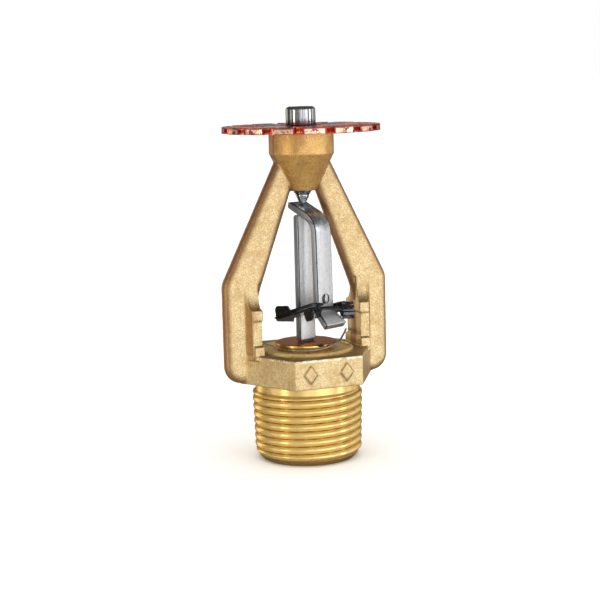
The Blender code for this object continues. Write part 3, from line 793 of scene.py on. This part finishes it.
def pad(side, low, high, half_width, inward, flare=0.0):
    """A raised pad across the guide's face, with a flared foot."""
    rings = []
    for height, extra in ((low, flare), (low + (high - low) * 0.35, flare * 0.25), (high, 0.0)):
        near, far = GUIDE_INNER - inward, GUIDE_OUTER - inward * 0.6 + extra * 0.5
        reach = half_width + extra
        rings.append([(side * across, along, height) for across, along in
                      ((near, -reach), (far, -reach), (far, reach), (near, reach))])
    return loft("pad", rings)


def casting_arm(side):
    """An arm with its guide and pads; a hair's difference keeps the arms' faces from coinciding."""
    arm = rounded_slab("arm", arm_outline(BOSS_CONE + 3.5 + 0.2 * side), ARM_HALF + 0.01 * side, ARM_ROUNDING)
    if side < 0:
        moved(arm, spun(pi, "Z"))
    room = [box("room", (side * (GUIDE_INNER - 2.0), front * FLANGE_STEP, HEX_TOP - 0.2),
                (side * FLANGE_INNER, front * 4, APEX_Z - 0.05)) for front in (-1, 1)]
    arm = combined(arm, room, "DIFFERENCE")
    return [arm, guide(side), pad(side, 34.25, SHOULDER_Z, GUIDE_HALF + 0.22, 0.25),
            pad(side, HEX_TOP - 0.9, 28.2, GUIDE_HALF + 0.8, 0.3, 0.5)]


def casting_marks():
    """Two plain raised diamonds on the front flat."""
    half_width, half_height = MARK_REACH
    marks = []
    for place in MARK_PLACES:
        outline = [(place - half_width, MARK_HEIGHT), (place, MARK_HEIGHT - half_height),
                   (place + half_width, MARK_HEIGHT), (place, MARK_HEIGHT + half_height)]
        marks.append(shifted(upright(plate("mark", [outline], 0.5)), along=0.08 - HEX_FLATS / 2))
    return marks


def build_casting():
    """The frame above the inlet, as one softened, grainy skin."""
    boss = turned("frame_casting", [
        (0, BOSS_TOP + 1.3), (NOSE_RADIUS, BOSS_TOP + 1.3), (NOSE_RADIUS, BOSS_TOP),
        (BOSS_RADIUS, BOSS_TOP), (BOSS_RADIUS, BOSS_CONE), (BOSS_TIP_RADIUS, BOSS_TIP), (0, BOSS_TIP),
    ], 128)
    hexagon = plate("hexagon", [hexagon_outline(HEX_FLATS)], (HEX_TOP - HEX_BOTTOM) / 2)
    shifted(hexagon, up=(HEX_TOP + HEX_BOTTOM) / 2)
    casting = combined(boss, [hexagon] + casting_arm(1) + casting_arm(-1) + casting_marks())
    core = turned("core", [(0, HEX_TOP + 2), (SEAT_RADIUS, HEX_TOP + 2), (SEAT_RADIUS, SEAT_Z),
                           (BORE_RADIUS, SEAT_Z), (BORE_RADIUS, HEX_BOTTOM - 2), (0, HEX_BOTTOM - 2)], 96)
    hole = turned("hole", [(0, BOSS_TOP + 4), (BOSS_HOLE, BOSS_TOP + 4), (BOSS_HOLE, BOSS_TIP - 4),
                           (0, BOSS_TIP - 4)], 48)
    casting = combined(casting, [core, hole], "DIFFERENCE")
    configured(casting.modifiers.new("skin", "REMESH"), mode="VOXEL", voxel_size=CASTING_VOXEL * MM)
    configured(casting.modifiers.new("soften", "SMOOTH"), factor=0.5, iterations=5)
    grain = configured(bpy.data.textures.new("casting_grain", "CLOUDS"),
                       noise_scale=CASTING_GRAIN * MM, noise_depth=3)
    configured(casting.modifiers.new("pitted", "DISPLACE"), texture=grain, texture_coords="LOCAL",
               strength=CASTING_GRAIN_DEPTH * MM, mid_level=0.5)
    casting = settled(casting, weld=False)
    casting.data.shade_smooth()
    return dress(casting, cast_brass(), "cast_brass", "frame", "frame")


def thread_radius(height, turn):
    """The inlet's radius: chamfered end, tapered thread with round crests, and neck."""
    crest = THREAD_RADIUS - (THREAD_END - height) * THREAD_TAPER
    phase = (height / THREAD_PITCH - turn / tau) % 1.0
    wave = (1.0 - (2.0 * phase - 1.0) ** 2) ** 0.62
    run_in = min(max((height - THREAD_START + 0.3) / 1.2, 0.0), 1.0)
    run_out = min(max((THREAD_END + 0.5 - height) / 0.9, 0.0), 1.0)
    root = crest - THREAD_DEPTH
    if height > THREAD_END:
        root = min(root + (height - THREAD_END) * 0.25, NECK_RADIUS)
    radius = root + THREAD_DEPTH * wave * min(run_in, run_out)
    chamfer = 10.9 + height * 0.95
    return min(radius, chamfer)


def build_inlet():
    """The inlet with its thread and bore, as one closed skin."""
    top = HEX_BOTTOM + 0.5
    levels = [(top * row / (INLET_ROWS - 1), None) for row in range(INLET_ROWS)]
    levels += [(top, BORE_RADIUS + 0.02), (1.2, BORE_RADIUS + 0.02), (0.0, BORE_RADIUS + 0.5)]
    rings = []
    for height, bore in levels:
        turns = [tau * column / INLET_COLUMNS for column in range(INLET_COLUMNS)]
        reaches = [bore or thread_radius(height, turn) for turn in turns]
        rings.append([(reach * cos(turn), reach * sin(turn), height)
                      for reach, turn in zip(reaches, turns)])
    inlet = smooth(loft("frame_inlet_thread", rings, True), 50)
    return dress(inlet, machined_brass(), "cast_brass", "frame", "frame")


# ---- deflector and screw ----

def deflector_outline(radius):
    """The slotted disc, anticlockwise: each slot has a round inner end."""
    half = SLOT_WIDTH / 2
    pitch = tau / DEFLECTOR_SLOTS
    edge = asin(half / radius)
    mouth = radius * cos(edge)
    points = []
    for slot in range(DEFLECTOR_SLOTS):
        turn = slot * pitch
        along = Vector((cos(turn), sin(turn)))
        across = Vector((-sin(turn), cos(turn)))
        points.append(along * mouth - across * half)
        for step in range(11):
            swing = pi * step / 10
            inward = SLOT_END + half - half * sin(swing)
            points.append(along * inward - across * half * cos(swing))
        points.append(along * mouth + across * half)
        for step in range(1, 8):
            rim = turn + edge + (pitch - 2 * edge) * step / 8
            points.append(Vector((cos(rim), sin(rim))) * radius)
    return [tuple(point) for point in points]


def build_deflector():
    """The slotted disc round the boss's nose."""
    thickness = DEFLECTOR_HIGH.z - DEFLECTOR_LOW.z
    hole = arc((0, 0), NOSE_RADIUS + 0.1, 0, 354, 59)
    disc = plate("deflector_disc", [deflector_outline(DEFLECTOR_HIGH.x), hole], thickness / 2)
    shifted(disc, up=(DEFLECTOR_LOW.z + DEFLECTOR_HIGH.z) / 2)
    disc = smooth(bevelled(disc, 0.22, 3, 60), 30)
    return dress(disc, deflector_copper(), "copper", "frame", "deflector")


def build_screw():
    """The screw: socket head, plain shank, and a point below three worn ridges."""
    top, tip = SCREW_HIGH.z, SCREW_LOW.z
    head_low = DEFLECTOR_HIGH.z + 0.05
    head = rounded_profile([
        (0, top), (SCREW_HEAD - 0.6, top), (SCREW_HEAD, top - 0.55),
        (SCREW_HEAD, head_low), (SCREW_SHANK, head_low), (SCREW_SHANK, head_low - 1.0),
    ], 0.25)
    shank = [(SCREW_SHANK, BOSS_TIP + 0.4)]
    for ridge in range(3):
        height = BOSS_TIP - 0.1 - ridge * 0.38
        core = 2.25 - ridge * 0.26
        shank += [(core - 0.12, height + 0.14), (core + 0.12, height), (core - 0.2, height - 0.16)]
    point = rounded_profile([(1.5, 62.1), (0.98, 61.1), (0.80, 60.75), (0.55, tip + 0.1), (0.0, tip)],
                            0.12)
    screw = turned("compression_screw_turned", head + shank + point, 96)
    socket = shifted(plate("socket", [hexagon_outline(SOCKET_ACROSS, 0.3)], 1.8), up=top - 0.8)
    screw = smooth(combined(screw, [socket], "DIFFERENCE"), 40)
    # painted reflection: strong upright dark and light streaks on the turned head
    material = plated_steel("turned_steel", (0.56, 0.59, 0.64), 0.16, 0.42, 1.0)
    return dress(screw, material, "screw_steel", "compression_screw", "compression_screw")


# ---- trigger ----

def rounded_path(corners, radii, steps):
    """A path whose inner corners are arcs, one radius for each."""
    path = [Vector(corners[0])]
    for before, corner, after, radius in zip(corners, corners[1:], corners[2:], radii):
        before, corner, after = Vector(before), Vector(corner), Vector(after)
        back = (before - corner).normalized()
        ahead = (after - corner).normalized()
        half = back.angle(ahead) / 2
        reach = radius / tan(half)
        centre = corner + (back + ahead).normalized() * (radius / sin(half))
        first = corner + back * reach - centre
        last = corner + ahead * reach - centre
        sweep = first.angle_signed(last)
        for step in range(steps + 1):
            path.append(centre + Matrix.Rotation(-sweep * step / steps, 2) @ first)
    path.append(Vector(corners[-1]))
    return path


def strip_outline(path, thickness, round_start=False):
    """A strip's outline along a path, with a rounded first end where asked."""
    left = []
    right = []
    for index, point in enumerate(path):
        before = path[max(index - 1, 0)]
        after = path[min(index + 1, len(path) - 1)]
        ahead = (after - before).normalized()
        side = Vector((-ahead.y, ahead.x)) * thickness / 2
        left.append(tuple(point + side))
        right.append(tuple(point - side))
    outline = right + left[::-1]
    if round_start:
        start, side = path[0], Vector(left[0]) - path[0]
        outline += [tuple(start + Matrix.Rotation(radians(angle), 2) @ side)
                    for angle in range(15, 180, 15)]
    return outline


def strip_sides(piece, name):
    """Painted shade: darken a strip's sheared sides, and its rounded edges still more."""
    edge = len(piece.data.materials)
    piece.data.materials.append(plated_steel("steel_edge_shaded_" + name, (0.055, 0.06, 0.065), 0.28))
    piece.data.materials.append(plated_steel("steel_side_shaded_" + name, (0.40, 0.46, 0.56), 0.32))
    for polygon in piece.data.polygons:
        lean = abs(polygon.normal.dot(TRIGGER_ACROSS))
        if lean > 0.12:
            polygon.material_index = edge if lean < 0.93 else edge + 1
    return piece


def build_hook():
    """The bent strip: a sloping top, a leg with a dimple, and a widened foot."""
    middle = STRIP_THICKNESS / 2 / cos(HOOK_SLOPE)
    face_height = SCREW_LOW.z - 0.2

    def top_arm(place):
        return (place, face_height - middle - place * tan(HOOK_SLOPE))

    path = rounded_path([top_arm(HOOK_START), top_arm(HOOK_BEND), HOOK_KNEE, HOOK_FOOT], (4.6, 1.1), 16)
    hook = upright(plate("hook_strip", [strip_outline(path, STRIP_THICKNESS, True)], STRIP_WIDTH / 2))
    hook = bevelled(hook, STRIP_EDGE, 4, 60, False)
    dome = [(DIMPLE_RADIUS * sin(radians(angle)), DIMPLE_HEIGHT * cos(radians(angle)))
            for angle in range(12, 90, 13)]
    dimple = turned("dimple", [(0, DIMPLE_HEIGHT)] + dome
                    + [(DIMPLE_RADIUS + 0.06, -0.02), (DIMPLE_RADIUS + 0.06, -0.5), (0, -0.5)], 40)
    moved(dimple, shift(DIMPLE_PLACE + STRIP_THICKNESS / 2, 0, DIMPLE_Z) @ spun(pi / 2, "Y"))
    hook = combined(hook, [dimple])
    for vertex in hook.data.vertices:
        reach = (vertex.co.x / MM - FOOT_START) / FOOT_LENGTH
        if reach > 0 and vertex.co.z < FOOT_TOP * MM:
            vertex.co.y *= 1 + FOOT_WIDENING * min(reach, 1.0)
    smooth(moved(hook, TRIGGER_MATRIX), 30)
    material = plated_steel("plated_steel_hook", (0.55, 0.56, 0.575), 0.38, 0.88, 0.6)
    polish_with_painted_reflection_above(material, 53.0, 57.0)
    dress(hook, material, "lever_steel", "hook", "hook")
    # painted shade: the foot's upward faces, under the link, get a darker steel
    hook.data.materials.append(plated_steel("plated_steel_foot_shaded", (0.40, 0.41, 0.425), 0.36, 0.6, 0.8))
    # painted light: the foot's end, turned to the key light, gets a brighter, less metallic steel
    hook.data.materials.append(plated_steel("plated_steel_tip_lit", (0.84, 0.87, 0.92), 0.45, 0.85, 0.35))
    for polygon in hook.data.polygons:
        if polygon.center.z < 35.6 * MM and polygon.normal.z > 0.3:
            polygon.material_index = 1
        elif polygon.center.z < 33.5 * MM and polygon.normal.dot(TRIGGER_ALONG) > 0.5:
            polygon.material_index = 2
    return strip_sides(hook, "hook")


def build_strut():
    """The straight strip from the hook down to the button."""
    half = STRIP_THICKNESS / 2
    low, high = STRUT_LOW.z, STRUT_HIGH.z
    outline = [(-half + STRUT_CHAMFER, low), (half - STRUT_CHAMFER, low), (half, low + STRUT_CHAMFER),
               (half, high - 0.15), (half - 0.15, high), (-half + STRUT_CHAMFER, high),
               (-half, high - STRUT_CHAMFER), (-half, low + STRUT_CHAMFER)]
    strut = upright(plate("strut_strip", [outline], STRIP_WIDTH / 2))
    strut = bevelled(strut, STRIP_EDGE, 3, 60)
    smooth(moved(strut, TRIGGER_MATRIX), 30)
    material = plated_steel("plated_steel_strut", (0.92, 0.96, 1.0), 0.42, 0.88, 0.45)
    darken_foot_below(material, STRUT_LOW.z + 0.45, STRUT_LOW.z + 0.75, (0.20, 0.24, 0.30))
    dress(strut, material, "lever_steel", "strut", "strut")
    return strip_sides(strut, "strut")


def rectangle(start, end, half_width):
    return [(start, -half_width), (end, -half_width), (end, half_width), (start, half_width)]


def notched(end_open, end_closed, opening_end, half_width):
    """A link plate's outline, with a notch for the other strip."""
    slot = STRIP_WIDTH / 2 + 0.35
    return [(end_closed, -half_width), (end_open, -half_width), (end_open, -slot), (opening_end, -slot),
            (opening_end, slot), (end_open, slot), (end_open, half_width), (end_closed, half_width)]


def window(place):
    """The slot in a link plate for its own, slanting strip."""
    reach = STRIP_THICKNESS / 2 / cos(LINK_TILT) + LINK_THICKNESS * tan(LINK_TILT) + 0.2
    return rectangle(place - reach, place + reach, STRIP_WIDTH / 2 + 0.2)


def link_fin(outline, edge, across=False):
    """A thin fin on a plate's edge, its outline in the plane of that edge."""
    fin = upright(plate("fin", [outline], FIN_HALF))
    if across:
        return shifted(moved(fin, spun(pi / 2, "Z")), across=edge)
    return shifted(fin, along=edge)


def link_skirt(outline, edge):
    """A fin turned down from an edge and leaning outwards."""
    skirt = link_fin(outline, edge)
    for vertex in skirt.data.vertices:
        vertex.co.y += 0.28 * vertex.co.z
    return skirt


def link_curl(start, end, edge):
    """A fin turned down from the far edge, with a curl half way."""
    path = rounded_path([(edge - 0.35, -0.3), (edge - 0.4, -1.1), (edge + 0.1, -1.65), (edge - 0.4, -2.25),
                         (edge - 0.6, -3.2)], (0.25, 0.25, 0.25), 5)
    curl = upright(plate("curl", [strip_outline(path, 0.36)], (end - start) / 2))
    return shifted(curl, along=(start + end) / 2)


def link_plate(name, outlines, level, fins, body, node, coatings):
    """A link plate with its fins; it leans, and droops a little to one side."""
    coated, worn, thin = coatings
    piece = shifted(plate(name, outlines, LINK_THICKNESS / 2), up=level)
    piece = bevelled(combined(piece, fins), 0.16, 3, 50)
    dress(piece, coated, "black_plating", body, node)
    # painted highlight: worn holds the grey edge coating, given to the plates' edges
    outline_edges(piece, worn)
    piece.data.materials.append(thin)
    for polygon in piece.data.polygons:
        along, across, height = polygon.center / MM
        across, height = across + LINK_HALF, height - level
        # painted highlight: a strip along the lower plate's near edge also gets the grey edge coating
        if level < 0 and across < 0.1 and 0.03 < height < 0.2 and along < 3.1:
            polygon.material_index = 1
        elif across < 1.0 and height < -0.2 and polygon.normal.y < -0.5 and along < 3.2:
            polygon.material_index = 2
    droop = shift(along=-LINK_HALF) @ spun(-LINK_DROOP, "X") @ shift(along=LINK_HALF)
    return smooth(moved(piece, LINK_MATRIX @ droop), 30)


def build_link():
    """The two black link plates: the hook's lies under the strut's."""
    # the grey edge coating is a painted highlight along the link plates' edges
    coatings = (black_coating(), grey_coating("black_coating_edge", (0.16, 0.165, 0.17), 0.16, 0.2, 0.9),
                grey_coating("black_coating_thin", (0.03, 0.031, 0.033), 0.3, 0.0, 0.7))
    near, far = -LINK_HALF + 0.36, LINK_HALF - 0.36
    upper = [link_fin([(-3.3, 0.02), (2.2, 0.02), (1.1, 1.9), (0.8, 2.0), (-2.3, 2.6), (-2.9, 2.45),
                       (-3.35, 1.9)], near),
             link_fin([(1.0, 0.2), (4.4, 0.2), (3.9, 1.5), (1.5, 1.7)], far)]
    outlines = [notched(LINK_END, LINK_START, LEG_PLACE - 1.7, LINK_HALF), window(0)]
    link_plate("link_plate_strut_side", outlines, LINK_LEVEL, upper, "strut", "link_strut_half", coatings)
    lower = [link_skirt([(-3.7, -0.02), (-2.9, -1.0), (2.8, -2.2), (3.1, -0.02)], near),
             link_fin([(-3.65, -0.15), (3.0, -0.15), (3.0, 0.15), (-3.65, 0.15)], near - 0.3),
             link_fin([(6.2, -0.2), (6.6, -2.7), (7.0, -3.1), (8.7, -3.1), (9.1, -2.7), (9.4, -0.2)],
                      near),
             link_fin([(-6.2, -0.2), (-5.3, -2.5), (-4.7, -2.6), (-3.3, -0.2)], LINK_END - 0.25, True),
             link_fin([(5.0, -0.2), (5.2, -2.0), (8.3, -2.2), (8.7, -0.2)], far),
             link_fin([(2.3, -0.2), (2.5, -0.9), (4.4, -2.3), (4.7, -0.2)], LINK_END - 0.45, True),
             link_curl(3.0, LINK_HALF - 0.15, LINK_END - 0.1)]
    outlines = [notched(LINK_START, LINK_END, 2.2, LINK_HALF), window(LEG_PLACE)]
    link_plate("link_plate_hook_side", outlines, -LINK_LEVEL, lower, "hook", "link_hook_half", coatings)


# ---- button and seal ----

def build_button():
    """A sheared disc with a bent-down nick in its rim, on a hub."""
    top = BUTTON_HIGH.z
    low = BUTTON_LOW.z
    under = top - BUTTON_RIM
    profile = rounded_profile([
        (0, top), (NICK_START, top), (BUTTON_RADIUS, top), (BUTTON_RADIUS, under), (5.6, under), (5.6, 26.6),
        (4.0, 26.6), (4.0, low + 0.3), (3.6, low), (0, low),
    ], 0.14)
    button = turned("button_turned", profile, 192)
    for vertex in button.data.vertices:
        turn = atan2(vertex.co.y, vertex.co.x) - NICK_TURN
        reach = vertex.co.to_2d().length / MM - NICK_START
        if reach > 0 and vertex.co.z > (under - 0.05) * MM:
            share = max(0.0, 1 - (turn / NICK_HALF) ** 2) ** 0.6
            vertex.co.z -= NICK_DEPTH * share * min(reach, 1.0) * MM
    smooth(button, 40)
    return dress(button, button_copper(), "button_copper", "button", "button")


def build_washer():
    """The spring washer, with a raised bead near its rim."""
    top = WASHER_HIGH.z - 0.22
    low = WASHER_LOW.z
    profile = [(4.3, top), (9.6, top - 0.08), (10.1, top - 0.16), (10.45, top - 0.05)]
    profile += arc((10.75, top - 0.02), 0.24, 150, 20, 6)
    profile += [(11.2, top - 0.12), (11.2, low), (4.3, low)]
    washer = smooth(turned("washer_turned", profile, 144), 40)
    return dress(washer, washer_brass(), "washer_brass", "button", "spring_washer")


def build_wire():
    """The ejection spring: a bent wire round the button's front."""
    lie = WASHER_HIGH.z + 0.36
    route = [(-9.4, 8.2, 0.1), (-8.7, 5.4, 0.0), (-7.8, 1.2, 0.0), (-6.8, -3.6, 0.0), (-4.4, -6.9, 0.0),
             (-1.3, -8.0, 0.05), (2.0, -7.7, 0.3), (5.7, -5.6, 0.95), (9.2, -0.7, 1.6), (12.0, 4.2, 2.05)]
    curve = configured(bpy.data.curves.new("ejection_spring_wire", "CURVE"), dimensions="3D",
                       bevel_depth=WIRE_RADIUS * MM, bevel_resolution=5, resolution_u=10,
                       use_fill_caps=True)
    spline = curve.splines.new("BEZIER")
    spline.bezier_points.add(len(route) - 1)
    for point, (across, along, rise) in zip(spline.bezier_points, route):
        configured(point, co=Vector((across, along, lie + rise)) * MM, handle_left_type="AUTO",
                   handle_right_type="AUTO")
    wire = smooth(settled(in_scene("ejection_spring_wire", curve)), 50)
    material = plated_steel("spring_wire_steel", (0.36, 0.38, 0.36), 0.3)
    return dress(wire, material, "spring_wire", "button", "ejection_spring")


# ---- studio ----

def build_camera():
    """The viewpoint: close, slightly above, looking down and leaning a little."""
    data = configured(bpy.data.cameras.new("camera"), lens=CAMERA_LENS, sensor_width=36.0,
                      clip_start=0.01)
    camera = in_scene("camera", data)
    camera.location = (-sin(CAMERA_YAW) * CAMERA_DISTANCE, -cos(CAMERA_YAW) * CAMERA_DISTANCE,
                       CAMERA_HEIGHT)
    level = spun(-(CAMERA_YAW + CAMERA_PAN), "Z") @ spun(pi / 2, "X")
    tilt = spun(-CAMERA_PITCH, "X") @ spun(-CAMERA_ROLL, "Z")
    camera.matrix_world = Matrix.Translation(camera.location) @ level @ tilt
    bpy.context.scene.camera = camera


def soft_box(name, azimuth, size, distance, level, color, height=0.05):
    """A soft box round the object; azimuth is in degrees to the camera's right."""
    width, length = size
    data = configured(bpy.data.lights.new(name, "AREA"), shape="RECTANGLE", size=width, size_y=length,
                      energy=level * pi * width * length, color=color)
    light = in_scene(name, data)
    turn = -pi / 2 - CAMERA_YAW + radians(azimuth)
    light.location = (cos(turn) * distance, sin(turn) * distance, height)
    toward = LIGHT_TARGET - light.location
    light.rotation_euler = toward.to_track_quat("-Z", "Y").to_euler()
    return light


def build_world():
    """White past the floor; in reflections, a room that is dark behind."""
    world = bpy.data.worlds.new("studio")
    bpy.context.scene.world = world
    world.use_nodes = True
    tree = world.node_tree
    direction = add_node(tree, "TexCoord").outputs["Generated"]
    viewer = (-sin(CAMERA_YAW), -cos(CAMERA_YAW), -0.6)
    toward = worked_out("VectorMath", "DOT_PRODUCT", (direction, viewer))["Value"]
    room = tree.nodes["Background"]
    put((1.0, 0.92, 0.80, 1.0), room.inputs["Color"])
    put(spread(toward, ROOM_BACK, ROOM_FRONT, -0.5, 0.8), room.inputs["Strength"])
    sheet = add_node(tree, "Background", Color=(*WHITE, 1.0), Strength=1.0)
    choice = add_node(tree, "MixShader",
                      Fac=add_node(tree, "LightPath").outputs["Is Camera Ray"])
    put(room.outputs["Background"], choice.inputs[1])
    put(sheet.outputs["Background"], choice.inputs[2])
    put(choice.outputs["Shader"], tree.nodes["World Output"].inputs["Surface"])


def build_studio():
    """A pale floor, soft boxes all round, and a wide wash that whitens the floor."""
    floor = add_mesh("floor", [(-6000, -6000, 0), (6000, -6000, 0), (6000, 6000, 0), (-6000, 6000, 0)],
                     [(0, 1, 2, 3)])
    floor.data.materials.append(new_material("pale_floor", (0.92, 0.92, 0.92), 0.8, 0.0)[0])
    configured(floor, visible_glossy=False, visible_shadow=False)
    build_world()
    for name, azimuth, width, distance, level, color in SIDE_LIGHTS:
        soft_box(name, azimuth, (width, 0.50), distance, level, color)
    back = soft_box("back_strip", 180, (0.50, 0.12), 0.90, 0.9, WHITE, 0.10)
    back.visible_camera = False
    wash = configured(bpy.data.lights.new("floor_wash", "SUN"), energy=3.4, angle=radians(110))
    in_scene("floor_wash", wash).visible_glossy = False
    bpy.context.scene.view_settings.view_transform = "Standard"


for make in (build_casting, build_inlet, build_deflector, build_screw, build_hook, build_strut, build_link,
             build_button, build_washer, build_wire):
    make()
film = film_plastic()
for node, material in (("seal_film_upper", film), ("seal_film_lower", film), ("solder_film", dull_solder())):
    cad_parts[node].data.materials.clear()
    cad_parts[node].data.materials.append(material)

build_camera()
build_studio()
